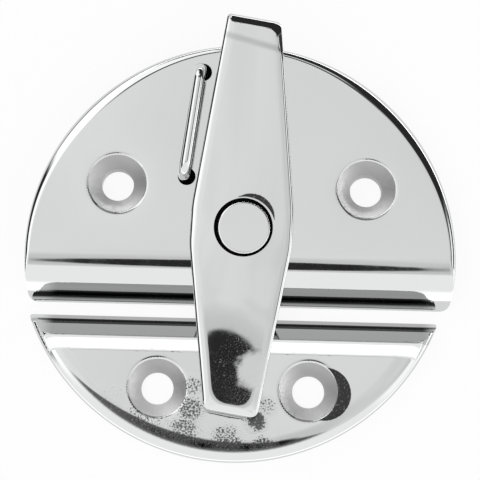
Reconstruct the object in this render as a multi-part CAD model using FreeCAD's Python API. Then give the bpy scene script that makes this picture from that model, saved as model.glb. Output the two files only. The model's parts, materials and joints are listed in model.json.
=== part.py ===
import FreeCAD, Part
import math
import os

# Two-part twist latch for a door and its frame: a round base plate with a turning
# arm, and a keeper plate that completes the disc across the gap. Millimetres.
# The origin is midway between the base plate's two screw holes, on the mounting
# surface. +Z points out of that surface and +Y towards the grip end of the arm.

V = FreeCAD.Vector
UP = V(0, 0, 1)
ALONG_X = V(1, 0, 0)

# Screw holes, the same in both plates, for countersunk screws of 4.2 mm
screw_hole_radius = 2.45
countersink_radius = 4.4

# Base plate
base_radius = 32.8
base_height = 5.0
base_wall = 2.0
base_rim_round = 2.3
base_screw_spacing = 38.0
base_centre_drop = 11.0
base_corner_round = 1.4
split_drop = 17.95

# Rolled lip along the split edge of the base plate, from the flat face down
lip_soft_radius = 12.0
lip_soft_angle = 9.0
lip_roll_radius = 4.4
lip_roll_angle = 42.0
lip_foot_angle = 54.0
edge_land = 0.4

# Keeper plate
split_gap = 2.0
keeper_radius = 33.2
keeper_shift = -0.8
keeper_centre_drop = 8.75
keeper_height = 3.0
keeper_wall = 2.0
keeper_rim_round = 2.3
keeper_soft_radius = 21.0
keeper_soft_angle = 6.5
keeper_screw_spacing = 23.0
keeper_screw_shift = -0.6
keeper_screw_drop = 30.9

# Ridge of the keeper plate along the split edge
ridge_rise = 2.0
ridge_crest_angle = 40.0
ridge_foot_angle = 60.0
ridge_back_angle = 51.0
ridge_crest_round = 0.45
ridge_end_inset = 0.7

# Pivot: rivet, its washers and its seats
pivot_shift = 0.45
pivot_drop = 7.0
rivet_head_radius = 4.0
rivet_head_height = 1.75
rivet_head_edge_round = 0.3
rivet_shank_radius = 2.5
rivet_clench_radius = 3.6
rivet_clench_height = 0.9
rivet_clench_round = 0.6
pivot_boss_radius = 7.0
boss_depth = 0.8
back_washer_radius = 5.2
back_washer_thickness = 0.8
wave_washer_radius = 5.0
wave_washer_bore = 2.8
wave_washer_thickness = 0.35
wave_washer_swing = 0.3
wave_count = 3

# Turning arm, in its own frame with the pivot at (0, 0)
arm_rest_angle = -1.95
arm_height = 5.0
arm_lift = 0.3
arm_half_width = 7.7
arm_end_half_width = 4.05
arm_middle_shift = -0.35
grip_length = 32.2
tail_length = 27.9
grip_shoulder = 3.2
tail_shoulder = 2.8
end_slant = 7.0
arm_side_round = 16.0
arm_corner_round = 1.2
arm_edge_round = 0.9
arm_under_round = 0.35
tail_slope = 7.0
tail_bend_start = 7.4
tail_bend_radius = 90.0
grip_slope = 2.8
grip_bend_radius = 460.0
grip_thickness = 3.0
grip_ramp_start = 8.0
grip_ramp_run = 5.0
counterbore_radius = 4.45
washer_recess_radius = 5.4

# Stop staple: feet in the base plate, measured from the pivot. Each foot goes down
# through a wider pocket, and its peened end holds it from behind.
wire_radius = 0.85
staple_upper_foot_x = -7.17
staple_upper_foot_y = 24.46
staple_lower_foot_x = -9.26
staple_lower_foot_y = 8.3
staple_pocket_radius = 1.35
staple_pocket_shift = 0.35
staple_pocket_depth = 2.0
staple_rise = 4.2
staple_bend_radius = 1.9
staple_clench_radius = 1.45
staple_clench_height = 0.6
staple_clench_round = 0.3
staple_boss_radius = 3.0

# Clearances
turning_clearance = 0.05
fixed_clearance = 0.02
overcut = 1.0

# Places worked out from the dimensions above
pivot = V(pivot_shift, -pivot_drop, 0)
base_centre = V(0, -base_centre_drop, 0)
keeper_centre = V(keeper_shift, -keeper_centre_drop, 0)
split_y = -split_drop
keeper_edge_y = split_y - split_gap
base_web_z = base_height - base_wall
boss_z = base_web_z - boss_depth
arm_top_z = base_height + arm_height
arm_under_z = base_height + arm_lift
washer_room = wave_washer_thickness + 2 * wave_washer_swing
recess_z = base_height + washer_room + turning_clearance
reach = 3 * base_radius


def sin(degrees):
    return math.sin(math.radians(degrees))


def cos(degrees):
    return math.cos(math.radians(degrees))


def tan(degrees):
    return math.tan(math.radians(degrees))


def cylinder(radius, low, high, centre):
    """Upright cylinder from height low to height high."""
    return Part.makeCylinder(radius, high - low, V(centre.x, centre.y, low), UP)


def rounded_disc(radius, low, high, edge_round, centre, upper=True):
    """Upright disc with its upper or its lower rim rounded."""
    disc = cylinder(radius, low, high, centre)
    middle = (low + high) / 2
    rims = [edge for edge in disc.Edges if edge.Closed and (edge.CenterOfMass.z > middle) == upper]
    return disc.makeFillet(edge_round, rims)


def screw_positions(spacing, shift, drop):
    return [V(shift + side * spacing / 2, -drop, 0) for side in (-1, 1)]


def screw_hole(place, face_z):
    """Through hole with a 90 degree countersink whose mouth lies at face_z."""
    depth = countersink_radius - screw_hole_radius
    hole = cylinder(screw_hole_radius, -overcut, face_z + overcut, place)
    mouth = V(place.x, place.y, face_z - depth)
    cone = Part.makeCone(screw_hole_radius, countersink_radius, depth, mouth, UP)
    above = cylinder(countersink_radius, face_z, face_z + overcut, place)
    return hole.fuse([cone, above])


def arc_through(first, middle, last):
    return Part.Arc(first, middle, last).toShape()


def slope_arc(centre_y, centre_z, radius, start_angle, end_angle, side):
    """Convex arc between two slopes. It falls towards side, +1 for +Y or -1 for -Y."""
    def at(angle):
        return V(0, centre_y + side * radius * sin(angle), centre_z + radius * cos(angle))
    return arc_through(at(start_angle), at((start_angle + end_angle) / 2), at(end_angle))


def ends(edge):
    return edge.Vertexes[0].Point, edge.Vertexes[-1].Point


def closed_prism(edges, corners):
    """Long prism along X: edges in order, closed from the last to the first by corners."""
    points = [ends(edges[-1])[1]] + corners + [ends(edges[0])[0]]
    lines = [Part.makeLine(a, b) for a, b in zip(points, points[1:])]
    face = Part.Face(Part.Wire(edges + lines))
    face.translate(ALONG_X * -reach)
    return face.extrude(ALONG_X * (2 * reach))


def rounded_outline(points, radii):
    """Closed wire through plan points, with an arc of its own radius at each corner."""
    count = len(points)
    arcs = []
    for index, corner in enumerate(points):
        before = (points[index - 1] - corner).normalize()
        after = (points[(index + 1) % count] - corner).normalize()
        half = before.getAngle(after) / 2
        step = radii[index] / math.tan(half)
        bisector = (before + after).normalize()
        middle = corner + bisector * (radii[index] / math.sin(half) - radii[index])
        arcs.append((corner + before * step, middle, corner + after * step))
    edges = []
    for index, (first, middle, last) in enumerate(arcs):
        edges.append(arc_through(first, middle, last))
        edges.append(Part.makeLine(last, arcs[(index + 1) % count][0]))
    return Part.Wire(edges)


def crossing(point_a, direction_a, point_b, direction_b):
    """Plan point where two lines cross."""
    cross = direction_a.x * direction_b.y - direction_a.y * direction_b.x
    offset = point_b - point_a
    run = (offset.x * direction_b.y - offset.y * direction_b.x) / cross
    return point_a + direction_a * run


def lip_prism(inset):
    """Space under the base plate's lip profile, moved inwards by inset."""
    top = base_height
    face_drop = (top - edge_land
                 - lip_soft_radius * (1 - cos(lip_soft_angle))
                 - lip_roll_radius * (cos(lip_soft_angle) - cos(lip_roll_angle)))
    face_radius = face_drop / (cos(lip_roll_angle) - cos(lip_foot_angle))
    face_y = split_y + face_radius * sin(lip_foot_angle)
    face_z = edge_land - face_radius * cos(lip_foot_angle)
    roll_shift = face_radius - lip_roll_radius
    roll_y = face_y - roll_shift * sin(lip_roll_angle)
    roll_z = face_z + roll_shift * cos(lip_roll_angle)
    soft_shift = lip_soft_radius - lip_roll_radius
    soft_y = roll_y + soft_shift * sin(lip_soft_angle)
    soft_z = roll_z - soft_shift * cos(lip_soft_angle)
    edges = [
        slope_arc(soft_y, soft_z, lip_soft_radius - inset, 0, lip_soft_angle, -1),
        slope_arc(roll_y, roll_z, lip_roll_radius - inset, lip_soft_angle, lip_roll_angle, -1),
        slope_arc(face_y, face_z, face_radius - inset, lip_roll_angle, lip_foot_angle, -1),
    ]
    foot = ends(edges[-1])[1]
    floor = -overcut - inset
    corners = [V(0, foot.y, floor), V(0, reach, floor), V(0, reach, top - inset)]
    return closed_prism(edges, corners)


def base_plan_prism():
    """Prism over the base plate's plan, with its two corners at the split edge rounded."""
    corner_y = split_y + base_corner_round
    run = base_radius - base_corner_round
    corner_x = math.sqrt(run ** 2 - (corner_y - base_centre.y) ** 2)

    def corner_points(side):
        centre = V(side * corner_x, corner_y, 0)
        outward = (centre - base_centre).normalize()
        downward = V(0, -1, 0)
        bisector = (outward + downward).normalize()
        return [centre + direction * base_corner_round for direction in (outward, bisector, downward)]

    right, left = corner_points(1), corner_points(-1)
    outline = Part.Wire([
        arc_through(*right),
        Part.makeLine(right[-1], left[-1]),
        arc_through(*reversed(left)),
        arc_through(left[0], base_centre + V(0, base_radius, 0), right[0]),
    ])
    return Part.Face(outline).extrude(UP * base_height)


def make_base_plate():
    disc = rounded_disc(base_radius, 0, base_height, base_rim_round, base_centre)
    shell = disc.common(lip_prism(0)).common(base_plan_prism())

    hollow = cylinder(base_radius - base_wall, -overcut, base_web_z, base_centre)
    hollow = hollow.common(lip_prism(base_wall))
    screws = screw_positions(base_screw_spacing, 0, 0)
    for place in screws:
        hollow = hollow.cut(cylinder(countersink_radius + base_wall, -2 * overcut, base_height, place))
    hollow = hollow.cut(cylinder(pivot_boss_radius, boss_z, base_height, pivot))
    for foot in staple_feet():
        hollow = hollow.cut(cylinder(staple_boss_radius, boss_z, base_height, foot))
    plate = shell.cut(hollow)

    holes = [screw_hole(place, base_height) for place in screws]
    pivot_hole = rivet_shank_radius + fixed_clearance
    holes.append(cylinder(pivot_hole, -overcut, base_height + overcut, pivot))
    foot_hole = wire_radius + fixed_clearance
    pocket_z = base_height - staple_pocket_depth
    for foot in staple_feet():
        pocket = foot + V(staple_pocket_shift, 0, 0)
        holes.append(cylinder(foot_hole, -overcut, base_height + overcut, foot))
        holes.append(cylinder(staple_pocket_radius, pocket_z, base_height + overcut, pocket))
    return plate.cut(holes)


def keeper_body():
    """Flat part of the keeper plate, with its soft crown and rounded rim."""
    side = keeper_rim_round * (1 - sin(keeper_soft_angle))
    soft = keeper_soft_radius * sin(keeper_soft_angle)
    flat_end = keeper_radius - side - soft
    soft_centre = V(flat_end, 0, keeper_height - keeper_soft_radius)
    shift = keeper_soft_radius - keeper_rim_round
    rim_centre = soft_centre + V(shift * sin(keeper_soft_angle), 0, shift * cos(keeper_soft_angle))

    def on(centre, radius, angle):
        return centre + V(radius * sin(angle), 0, radius * cos(angle))

    half_soft = keeper_soft_angle / 2
    half_rim = (keeper_soft_angle + 90) / 2
    crown = arc_through(on(soft_centre, keeper_soft_radius, 0),
                        on(soft_centre, keeper_soft_radius, half_soft),
                        on(soft_centre, keeper_soft_radius, keeper_soft_angle))
    rim = arc_through(on(rim_centre, keeper_rim_round, keeper_soft_angle),
                      on(rim_centre, keeper_rim_round, half_rim),
                      on(rim_centre, keeper_rim_round, 90))
    path = [V(keeper_radius, 0, 0), V(0, 0, 0), V(0, 0, keeper_height), ends(crown)[0]]
    lines = [Part.makeLine(a, b) for a, b in zip(path, path[1:])]
    wall = Part.makeLine(ends(rim)[1], path[0])
    profile = Part.Face(Part.Wire(lines + [crown, rim, wall]))
    body = profile.revolve(V(0, 0, 0), UP, 360)
    body.translate(keeper_centre)
    return body


def ridge_profile():
    """Front arc of the ridge, its crest and the foot of its back, as edges in YZ."""
    crest_z = keeper_height + ridge_rise
    drop = crest_z - edge_land
    front_radius = drop / (cos(ridge_crest_angle) - cos(ridge_foot_angle))
    front_y = keeper_edge_y - front_radius * sin(ridge_foot_angle)
    front_z = edge_land - front_radius * cos(ridge_foot_angle)
    front = slope_arc(front_y, front_z, front_radius, ridge_crest_angle, ridge_foot_angle, 1)
    crest = ends(front)[0]
    back = V(0, crest.y - ridge_rise / tan(ridge_back_angle), keeper_height)
    return front, crest, back


def make_keeper_plate():
    front, crest, back = ridge_profile()
    foot = ends(front)[1]
    above = UP * reach
    behind = V(0, -reach, -overcut)
    lip_side = closed_prism([front], [V(0, foot.y, -overcut), behind, behind + above, crest + above])
    body = keeper_body().common(lip_side)

    bar = closed_prism([front], [V(0, foot.y, 0), V(0, back.y, 0), back])
    crest_line = [edge for edge in bar.Edges if edge.Length > reach
                  and V(0, edge.CenterOfMass.y, edge.CenterOfMass.z).distanceToPoint(crest) < fixed_clearance]
    bar = bar.makeFillet(ridge_crest_round, crest_line)
    ends_limit = rounded_disc(keeper_radius - ridge_end_inset, 0, crest.z, keeper_rim_round, keeper_centre)
    plate = body.fuse(bar.common(ends_limit)).removeSplitter()

    screws = screw_positions(keeper_screw_spacing, keeper_screw_shift, keeper_screw_drop)
    pocket = cylinder(keeper_radius - keeper_wall, -overcut, keeper_height - keeper_wall, keeper_centre)
    pocket = pocket.cut(Part.makeBox(2 * reach, reach, reach, V(-reach, back.y, -reach / 2)))
    for place in screws:
        pocket = pocket.cut(cylinder(countersink_radius + keeper_wall, -2 * overcut, keeper_height, place))
    plate = plate.cut(pocket)
    return plate.cut([screw_hole(place, keeper_height) for place in screws])


def arm_outline():
    """Plan of the arm: widest at the pivot, with both ends cut at the same slant."""
    middle = V(arm_middle_shift, 0, 0)

    def shoulder(side, length):
        return middle + V(side * arm_half_width, length, 0)

    def end_corner(side, shoulder_y, end_y):
        run = end_y - shoulder_y
        taper = V(side * (arm_end_half_width - arm_half_width), run, 0)
        slant = V(cos(end_slant), -sin(end_slant), 0)
        return crossing(shoulder(side, shoulder_y), taper, middle + V(0, end_y, 0), slant)

    points = [
        shoulder(1, -tail_shoulder),
        shoulder(1, grip_shoulder),
        end_corner(1, grip_shoulder, grip_length),
        end_corner(-1, grip_shoulder, grip_length),
        shoulder(-1, grip_shoulder),
        shoulder(-1, -tail_shoulder),
        end_corner(-1, -tail_shoulder, -tail_length),
        end_corner(1, -tail_shoulder, -tail_length),
    ]
    side, corner = arm_side_round, arm_corner_round
    return rounded_outline(points, [side, side, corner, corner, side, side, corner, corner])


def arm_side_prism():
    """Side view of the arm: falling tail, level middle, slowly rising grip."""
    bend_y = -tail_bend_start
    tail_arc = slope_arc(bend_y, arm_top_z - tail_bend_radius, tail_bend_radius, 0, tail_slope, -1)
    level_start, tail_top = ends(tail_arc)
    tail_far = tail_top + V(0, -tail_length, -tail_length * tan(tail_slope))

    def on_grip(angle):
        return V(0, grip_shoulder + grip_bend_radius * sin(angle),
                 arm_top_z + grip_bend_radius * (1 - cos(angle)))

    level_end, grip_middle, grip_top = on_grip(0), on_grip(grip_slope / 2), on_grip(grip_slope)
    grip_far = grip_top + V(0, grip_length, grip_length * tan(grip_slope))
    edges = [
        Part.makeLine(tail_far, tail_top),
        arc_through(tail_top, middle_of(tail_arc), level_start),
        Part.makeLine(level_start, level_end),
        arc_through(level_end, grip_middle, grip_top),
        Part.makeLine(grip_top, grip_far),
    ]
    corners = [
        grip_far - UP * grip_thickness,
        V(0, grip_ramp_start + grip_ramp_run, arm_top_z - grip_thickness),
        V(0, grip_ramp_start, arm_under_z),
        V(0, tail_far.y, arm_under_z),
    ]
    return closed_prism(edges, corners)


def middle_of(edge):
    return edge.valueAt((edge.FirstParameter + edge.LastParameter) / 2)


def is_wall(face):
    low, high, near, far = face.ParameterRange
    return abs(face.normalAt((low + high) / 2, (near + far) / 2).z) < 0.5


def wall_edges(solid, upper):
    """Upper or lower edges of every upright wall of a solid."""
    chosen = []
    for face in solid.Faces:
        if not is_wall(face):
            continue
        for edge in face.Edges:
            rise = abs(edge.Vertexes[0].Z - edge.Vertexes[-1].Z)
            if rise > edge.Length / 2:
                continue
            above = edge.CenterOfMass.z > face.CenterOfMass.z
            known = any(edge.isSame(other) for other in chosen)
            if above == upper and not known:
                chosen.append(edge)
    return chosen


def make_turn_arm():
    plan = Part.Face(arm_outline())
    arm = plan.extrude(UP * (2 * arm_top_z)).common(arm_side_prism())
    arm = arm.makeFillet(arm_edge_round, wall_edges(arm, True))
    arm = arm.makeFillet(arm_under_round, wall_edges(arm, False))
    centre = V(0, 0, 0)
    seat_z = arm_top_z - rivet_head_height - turning_clearance
    counterbore = cylinder(counterbore_radius, seat_z, arm_top_z + overcut, centre)
    bore = cylinder(rivet_shank_radius + turning_clearance, 0, arm_top_z, centre)
    recess = cylinder(washer_recess_radius, 0, recess_z, centre)
    arm = arm.cut([counterbore, bore, recess])
    arm.rotate(centre, UP, arm_rest_angle)
    arm.translate(pivot)
    return arm


def make_pivot_rivet():
    clench_z = boss_z - back_washer_thickness
    head = rounded_disc(rivet_head_radius, arm_top_z - rivet_head_height, arm_top_z,
                        rivet_head_edge_round, pivot)
    shank = cylinder(rivet_shank_radius, clench_z - rivet_clench_height, arm_top_z, pivot)
    clench = rounded_disc(rivet_clench_radius, clench_z - rivet_clench_height, clench_z,
                          rivet_clench_round, pivot, upper=False)
    return head.fuse([shank, clench]).removeSplitter()


def make_back_washer():
    low = boss_z - back_washer_thickness
    disc = cylinder(back_washer_radius, low, boss_z, pivot)
    return disc.cut(cylinder(rivet_shank_radius + fixed_clearance, -overcut, base_height, pivot))


def make_wave_washer():
    """Ring whose height rises and falls wave_count times round its circle."""
    points_per_turn = 12 * wave_count
    middle_z = base_height + wave_washer_swing

    def rim(radius, lift):
        points = []
        for step in range(points_per_turn):
            turn = 360.0 * step / points_per_turn
            wave = wave_washer_swing * cos(wave_count * turn)
            points.append(pivot + V(radius * cos(turn), radius * sin(turn), middle_z + wave + lift))
        curve = Part.BSplineCurve()
        curve.interpolate(Points=points, PeriodicFlag=True)
        return curve.toShape()

    low_inner = rim(wave_washer_bore, 0)
    low_outer = rim(wave_washer_radius, 0)
    high_inner = rim(wave_washer_bore, wave_washer_thickness)
    high_outer = rim(wave_washer_radius, wave_washer_thickness)
    rims = [low_inner, low_outer, high_outer, high_inner]
    faces = [Part.makeRuledSurface(rims[index - 1], rims[index]) for index in range(len(rims))]
    shell = Part.makeShell(faces)
    shell.sewShape()
    return Part.makeSolid(shell)


def staple_feet():
    return [pivot + V(staple_upper_foot_x, staple_upper_foot_y, 0),
            pivot + V(staple_lower_foot_x, staple_lower_foot_y, 0)]


def make_stop_staple():
    upper, lower = staple_feet()
    along = (upper - lower).normalize()
    bar_z = base_height + staple_rise
    end_z = boss_z - staple_clench_height
    bend = staple_bend_radius
    diagonal = bend * (1 - cos(45))

    def corner(foot, inward):
        low = foot + UP * (bar_z - bend)
        middle = foot + inward * diagonal + UP * (bar_z - diagonal)
        high = foot + inward * bend + UP * bar_z
        return low, middle, high

    first_low, first_middle, first_high = corner(lower, along)
    second_low, second_middle, second_high = corner(upper, along * -1)
    start = lower + UP * end_z
    path = Part.Wire([
        Part.makeLine(start, first_low),
        arc_through(first_low, first_middle, first_high),
        Part.makeLine(first_high, second_high),
        arc_through(second_high, second_middle, second_low),
        Part.makeLine(second_low, upper + UP * end_z),
    ])
    section = Part.Wire(Part.makeCircle(wire_radius, start, UP))
    wire = path.makePipeShell([section], True, False)
    additions = []
    for foot in (upper, lower):
        additions.append(rounded_disc(staple_clench_radius, end_z, boss_z,
                                      staple_clench_round, foot, upper=False))
    return wire.fuse(additions).removeSplitter()


parts = {
    "base_plate": make_base_plate(),
    "keeper_plate": make_keeper_plate(),
    "turn_arm": make_turn_arm(),
    "pivot_rivet": make_pivot_rivet(),
    "back_washer": make_back_washer(),
    "wave_washer": make_wave_washer(),
    "stop_staple": make_stop_staple(),
}

os.makedirs("parts", exist_ok=True)
for name, shape in parts.items():
    shape.exportStep("parts/" + name + ".step")
    box = shape.BoundBox
    print(name, "valid" if shape.isValid() else "NOT VALID", len(shape.Solids), "solid,",
          round(shape.Volume, 2), "mm3, x", round(box.XMin, 2), round(box.XMax, 2),
          "y", round(box.YMin, 2), round(box.YMax, 2), "z", round(box.ZMin, 2), round(box.ZMax, 2))
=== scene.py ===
# %% [markdown]
# # Dressing a polished twist latch
# The latch is a round casting in two plates, with an arm that turns on a flush rivet and swings
# over the second plate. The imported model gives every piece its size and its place. This lesson
# builds a finer skin for each piece on that frame, gives it a polished, turned, drawn or cast
# finish, and then lights it the way bright metal is lit: by what it mirrors.

# %% The frame
import json
import math

import bmesh
import bpy
import numpy as np
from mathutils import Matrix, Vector
from mathutils.geometry import delaunay_2d_cdt


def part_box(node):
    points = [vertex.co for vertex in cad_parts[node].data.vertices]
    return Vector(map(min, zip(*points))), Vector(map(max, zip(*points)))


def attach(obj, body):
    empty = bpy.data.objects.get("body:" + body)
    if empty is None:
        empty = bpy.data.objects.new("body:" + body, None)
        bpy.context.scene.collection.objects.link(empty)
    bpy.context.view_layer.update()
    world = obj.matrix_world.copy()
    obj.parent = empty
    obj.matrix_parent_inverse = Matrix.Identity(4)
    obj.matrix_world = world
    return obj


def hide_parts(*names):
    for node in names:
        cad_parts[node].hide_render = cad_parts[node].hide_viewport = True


MM = 0.001
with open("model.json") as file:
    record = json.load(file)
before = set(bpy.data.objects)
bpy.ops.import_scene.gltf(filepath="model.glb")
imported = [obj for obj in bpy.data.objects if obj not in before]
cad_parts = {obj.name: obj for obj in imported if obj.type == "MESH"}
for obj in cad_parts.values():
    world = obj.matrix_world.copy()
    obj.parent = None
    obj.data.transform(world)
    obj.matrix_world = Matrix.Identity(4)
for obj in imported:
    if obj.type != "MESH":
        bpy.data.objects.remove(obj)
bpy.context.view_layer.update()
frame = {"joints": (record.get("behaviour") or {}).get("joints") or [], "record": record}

# %% [markdown]
# ## Sizes
# A piece that stands in for a part of the frame has to be as large as that part and lie where it
# lies. So radii, edges and hole places are read from the frame. Only what a box can't tell, such
# as the radius of a rolled edge, is written here, in millimetres.

# %% Sizes and places
base_low, base_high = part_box("base_plate")
keeper_low, keeper_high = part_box("keeper_plate")
rivet_low, rivet_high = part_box("pivot_rivet")
washer_low, washer_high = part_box("back_washer")
wave_low, wave_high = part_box("wave_washer")
staple_low, staple_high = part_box("stop_staple")

base_radius = (base_high.x - base_low.x) / 2
base_height = base_high.z
base_centre = np.array([0.0, base_high.y - base_radius])
keeper_radius = 33.2 * MM
keeper_height = 3.0 * MM
keeper_centre = np.array([(keeper_low.x + keeper_high.x) / 2, keeper_low.y + keeper_radius])
arm_top_z = rivet_high.z
pivot = np.array(frame["joints"][0]["pos_m"][:2])
casting_wall = 2.0 * MM
edge_land = 0.4 * MM
screw_bore = 2.45 * MM
screw_mouth = 4.4 * MM
mounts = {mount["name"]: mount for mount in frame["record"]["mounts"]}


def screw_places(mount):
    x, y = mount["pos_m"][:2]
    half = mount["dims"]["spacing_x_mm"] * MM / 2
    return [np.array([x - half, y]), np.array([x + half, y])]


base_screws = screw_places(mounts["base_screw_holes"])
keeper_screws = screw_places(mounts["keeper_screw_holes"])
print("base radius", round(base_radius / MM, 2), "keeper centre", keeper_centre / MM, "pivot", pivot / MM)
print("screws at", [list(np.round(p / MM, 2)) for p in base_screws + keeper_screws])

# %% [markdown]
# ## A casting as two height maps
# Polished steel is a mirror, and a mirror shows every flat facet and every badly placed edge. The
# plates and the arm have no undercuts, so each is a plan outline with a height for its front and a
# height for its back at every point. The heights are formulas, and the same formulas give the
# exact slope, so the mirror reads as one smooth surface on a mesh of modest size. Sculpting or a
# voxel remesh would be quicker, but both leave a ripple that a mirror magnifies.
#
# A rounded edge is a run of tangent arcs. A profile lists how far the surface has fallen after
# each step towards the outline.

# %% Arc profiles
ARC_STEPS = 300
STEEPEST = math.radians(88)
OVERRUN = 0.02 * MM


def arc_profile(*arcs):
    """Runs, falls and whole run along tangent arcs, each (radius, first slope, last slope)."""
    runs, falls = [0.0], [0.0]
    for radius, first, last in arcs:
        slopes = np.radians(np.linspace(first, last, ARC_STEPS)[1:])
        start = math.radians(first)
        run, fall = runs[-1], falls[-1]
        runs += list(run + radius * (np.sin(slopes) - math.sin(start)))
        falls += list(fall + radius * (math.cos(start) - np.cos(slopes)))
    reach = runs[-1]
    end_slope = math.tan(min(math.radians(arcs[-1][2]), STEEPEST))
    return np.array(runs + [reach + OVERRUN]), np.array(falls + [falls[-1] + OVERRUN * end_slope]), reach


def fall_at(profile, inset):
    """Fall at a distance from the edge. Past the edge it goes on at the last slope."""
    runs, falls, reach = profile
    steepness = (falls[-1] - falls[-2]) / (runs[-1] - runs[-2])
    return np.interp(reach - inset, runs, falls) + np.maximum(-inset, 0) * steepness


def inset_rows(profile, count):
    """Distances from the outline at which a profile needs a row of points, finest where it turns."""
    runs, _, reach = profile
    return reach - runs[np.linspace(0, len(runs) - 2, count).astype(int)]


def soft_min(a, b, blend):
    """The lower of two heights, with the crease between them rounded over."""
    overlap = np.maximum(blend - np.abs(a - b), 0) / blend
    return np.minimum(a, b) - overlap**2 * blend / 4


def soft_max(a, b, blend):
    return -soft_min(-a, -b, blend)


def smooth_step(share):
    share = np.clip(share, 0, 1)
    return share * share * (3 - 2 * share)


print("a 1 mm quarter round falls", round(float(fall_at(arc_profile((1.0, 0, 90)), 0)), 3), "mm")

# %% [markdown]
# ## From plan to mesh
# The plan is triangulated between its outline, its holes and rows of loose points that lie close
# together where the surface turns. The front and the back each get their own triangles, and strips
# of four-sided faces close the outer wall and every hole.

# %% Plan helpers
HOLE_STEPS = 72
SLIVER = 1e-5 * MM**2


def on_arc(centre, radius, turns):
    return centre + radius * np.stack([np.cos(turns), np.sin(turns)], -1)


def circle(centre, radius, count=HOLE_STEPS):
    return on_arc(centre, radius, np.arange(count) * 2 * math.pi / count)


def rings_round(centre, radii, spacing):
    """Circles of loose points, each with as many points as its length needs."""
    return [circle(centre, r, max(12, int(2 * math.pi * r / spacing))) for r in radii]


def level_row(xs, y):
    return np.stack([xs, np.full(len(xs), y)], 1)


def grid(middle, reach, spacing):
    """Loose points over a square, every other row shifted by half a step."""
    low, high = middle - reach, middle + reach
    return np.concatenate([level_row(np.arange(low[0], high[0], spacing) + (index % 2) * spacing / 2, y)
                           for index, y in enumerate(np.arange(low[1], high[1], spacing))])


def spaced(points, taken, apart):
    """Those points that keep their distance from the taken ones and from each other."""
    cells, kept = {}, []

    def keep(point):
        cells.setdefault((int(point[0] // apart), int(point[1] // apart)), []).append(point)

    def crowded(point):
        column, row = int(point[0] // apart), int(point[1] // apart)
        close = [p for c in (-1, 0, 1) for r in (-1, 0, 1) for p in cells.get((column + c, row + r), ())]
        return any((p[0] - point[0])**2 + (p[1] - point[1])**2 < apart**2 for p in close)

    for point in taken:
        keep(point)
    for point in points:
        if not crowded(point):
            keep(point)
            kept.append(point)
    return np.array(kept).reshape(-1, 2)


def triangulate(rings, loose):
    """Points and triangles of a plan: the first ring bounds it, and the other rings are holes.

    A triangle with all its corners on one hole's ring lies in that hole, and a flat one on the
    outline lies just outside it."""
    points = np.concatenate([*rings, loose])
    owner = np.full(len(points), -1)
    edges, start = [], 0
    for number, ring in enumerate(rings):
        count = len(ring)
        owner[start:start + count] = number
        edges += [(start + i, start + (i + 1) % count) for i in range(count)]
        start += count
    found = delaunay_2d_cdt([Vector(p) for p in points / MM], edges, [], 0, 1e-6)
    triangles = np.array([[found[3][corner][0] for corner in face] for face in found[2]])
    owners = owner[triangles]
    on_one_ring = (owners[:, 0] >= 0) & (owners == owners[:, :1]).all(axis=1)
    across, along = (points[triangles[:, corner]] - points[triangles[:, 0]] for corner in (1, 2))
    doubled = np.abs(across[:, 0] * along[:, 1] - across[:, 1] * along[:, 0])
    outside = on_one_ring & ((owners[:, 0] > 0) | (doubled < SLIVER))
    return points, triangles[~outside]


print("hole rings have", HOLE_STEPS, "points")

# %% Skins, walls and holes
SKIN_OTHER, SKIN_TOP, SKIN_UNDER = 0, 1, 2
FRONT, BACK, CONE, BORE, WALL = 0, 1, 2, 3, 4
SLOPE_STEP = 0.001 * MM
WELD = 0.0002 * MM


def raised(plan, heights):
    return np.column_stack([plan, np.broadcast_to(heights, len(plan))])


def strip(first, second):
    """Four-sided faces between two closed rings with the same count of points."""
    count = len(first)
    after = [(i + 1) % count for i in range(count)]
    return np.concatenate([first, second]), [(i, after[i], count + after[i], count + i) for i in range(count)]


def skin_normals(height, plan):
    x, y = plan[:, 0], plan[:, 1]
    slope_x = (height(x + SLOPE_STEP, y) - height(x - SLOPE_STEP, y)) / (2 * SLOPE_STEP)
    slope_y = (height(x, y + SLOPE_STEP) - height(x, y - SLOPE_STEP)) / (2 * SLOPE_STEP)
    normals = np.column_stack([-slope_x, -slope_y, np.ones(len(plan))])
    return normals / np.linalg.norm(normals, axis=1, keepdims=True)


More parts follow.
